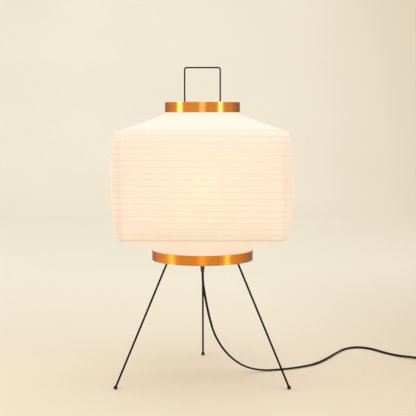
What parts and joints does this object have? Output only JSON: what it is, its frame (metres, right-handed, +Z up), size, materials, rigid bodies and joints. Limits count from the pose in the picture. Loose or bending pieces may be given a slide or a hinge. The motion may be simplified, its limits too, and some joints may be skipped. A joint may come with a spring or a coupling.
{
  "type": "paper lantern floor lamp",
  "caption": "Low floor lamp: a square, bowed paper lantern with bamboo ribs between copper bands, a wire carrying handle, thin splayed wire legs and a trailing mains cord.",
  "frame": {"origin": "on the floor, on the lamp's upright axis", "axes": "+Z up, the shade's front face towards -Y, the handle and its yoke along X, one foot straight back along +Y"},
  "size_m": [0.9123, 0.5171, 0.73],
  "materials": {
    "paper": "thin fibrous handmade paper, lit from inside",
    "bamboo": "split bamboo",
    "hoop_wood": "bent wood, unfinished",
    "copper": "satin copper-coloured sheet",
    "black_wire": "black lacquered steel wire",
    "foot_black": "glossy black ball",
    "plate_black": "black painted steel",
    "steel": "zinc plated steel",
    "sleeve_black": "black painted tube",
    "nylon": "moulded nylon",
    "phenolic": "moulded phenolic",
    "porcelain": "glazed white insulator",
    "contact_brass": "bare brass",
    "cap_metal": "rolled aluminium",
    "bulb_glass": "frosted glass",
    "stem_glass": "clear glass",
    "filament": "coated filament strip",
    "cord_black": "black flat twin flex",
    "switch_black": "black moulded case",
    "rocker_black": "black moulded rocker",
    "plug_black": "black moulded grip",
    "tie_black": "black woven strap"
  },
  "bodies": {
    "stand": {"stand_plate": "plate_black", "leg_sockets": "plate_black", "socket_screws": "steel", "leg_left": "black_wire", "leg_right": "black_wire", "leg_back": "black_wire", "foot_left": "foot_black", "foot_right": "foot_black", "foot_back": "foot_black", "threaded_tube": "steel", "tube_nut": "steel", "stem_sleeve": "sleeve_black", "cord_gland": "nylon", "holder_base": "phenolic", "holder_body": "phenolic", "contact_block": "porcelain", "thread_shell": "contact_brass", "centre_contact": "contact_brass", "cord_run": "cord_black", "switch_bottom": "switch_black", "switch_top": "switch_black", "switch_screws": "steel", "rocker_pin": "steel", "cord_coil": "cord_black", "coil_tie": "tie_black", "plug_body": "plug_black", "plug_blades": "contact_brass"},
    "lantern": {"bottom_band": "copper", "bottom_hoop": "hoop_wood", "stretcher_wire": "black_wire", "wall_front": "paper", "wall_right": "paper", "wall_back": "paper", "wall_left": "paper", "shoulder_front": "paper", "shoulder_right": "paper", "shoulder_back": "paper", "shoulder_left": "paper", "under_front": "paper", "under_right": "paper", "under_back": "paper", "under_left": "paper", "edge_hoop_top": "bamboo", "edge_hoop_bottom": "bamboo", "bamboo_rib": "bamboo"},
    "top_collar": {"top_band": "copper", "top_hoop": "hoop_wood", "top_yoke": "plate_black", "yoke_rivets": "steel", "grip_bushes": "nylon"},
    "bulb": {"bulb_contact": "contact_brass", "bulb_insulator": "porcelain", "bulb_cap": "cap_metal", "bulb_glass": "bulb_glass", "filament_stem": "stem_glass", "filaments": "filament"},
    "switch_rocker": {"switch_rocker": "rocker_black"}
  },
  "joints": [
    {"name": "lantern_lift", "type": "slide", "parent": "stand", "child": "lantern", "axis": [0, 0, 1], "range_m": [0, 0.24]},
    {"name": "shade_fold", "type": "slide", "parent": "lantern", "child": "top_collar", "axis": [0, 0, 1], "range_m": [-0.13, 0], "deforming": ["wall_front", "wall_right", "wall_back", "wall_left", "shoulder_front", "shoulder_right", "shoulder_back", "shoulder_left", "under_front", "under_right", "under_back", "under_left", "edge_hoop_top", "edge_hoop_bottom", "bamboo_rib"]},
    {"name": "bulb_turn", "type": "hinge", "parent": "stand", "child": "bulb", "pos_m": [0, 0, 0.4], "axis": [0, 0, 1], "range_deg": [0, 720]},
    {"name": "switch_rock", "type": "hinge", "parent": "stand", "child": "switch_rocker", "pos_m": [0.585, 0.138, 0.011], "axis": [0.6, 0.8, 0], "range_deg": [-14, 0]}
  ]
}
